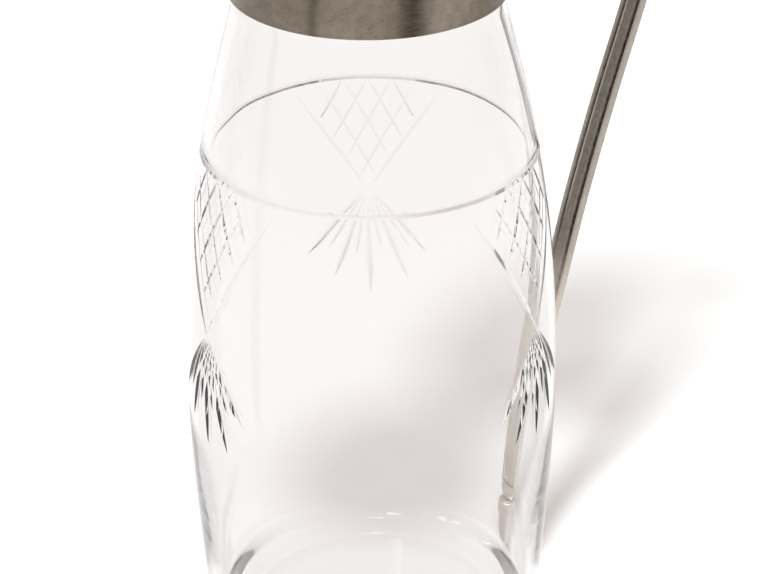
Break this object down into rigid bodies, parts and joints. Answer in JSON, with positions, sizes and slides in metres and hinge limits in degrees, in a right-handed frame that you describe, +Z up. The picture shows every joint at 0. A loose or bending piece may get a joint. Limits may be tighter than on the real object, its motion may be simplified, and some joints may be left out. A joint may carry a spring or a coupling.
{
  "type": "carafe",
  "caption": "Tall barrel-shaped clear cut-glass carafe with a silver-plated collar and neck, spout, hinged domed lid with thumb piece, and a long reeded strap handle.",
  "frame": {"origin": "centre of the flat base, on the surface it stands on", "axes": "+Z up along the vessel's axis, +X towards the handle, -X towards the spout"},
  "size_m": [0.1334, 0.093, 0.2611],
  "materials": {
    "glass": "clear polished glass with cut grooves",
    "cement": "matt plaster bedding",
    "silver_plate": "dull tarnished silver plate",
    "handle_plate": "silver plate, reeded, dark in the grooves"
  },
  "bodies": {
    "jug": {"glass_body": "glass", "rim_cement": "cement", "collar_band": "silver_plate", "collar_bead": "silver_plate", "neck_mount": "silver_plate", "mouth_rim": "silver_plate", "spout": "silver_plate", "hinge_knuckle_left": "silver_plate", "hinge_knuckle_right": "silver_plate", "hinge_pin": "silver_plate", "handle_bracket": "silver_plate", "handle_strap": "handle_plate", "handle_rivet_inner": "handle_plate", "handle_rivet_outer": "handle_plate", "handle_knuckle": "handle_plate", "handle_bud": "handle_plate"},
    "lid": {"lid_rim": "silver_plate", "lid_bezel": "silver_plate", "lid_dome": "silver_plate", "lid_finial": "silver_plate", "lid_leaf": "silver_plate", "thumb_piece": "silver_plate"}
  },
  "joints": [
    {"name": "lid_hinge", "type": "hinge", "parent": "jug", "child": "lid", "pos_m": [0.03, 0, 0.2367], "axis": [0, 1, 0], "range_deg": [0, 90]}
  ]
}
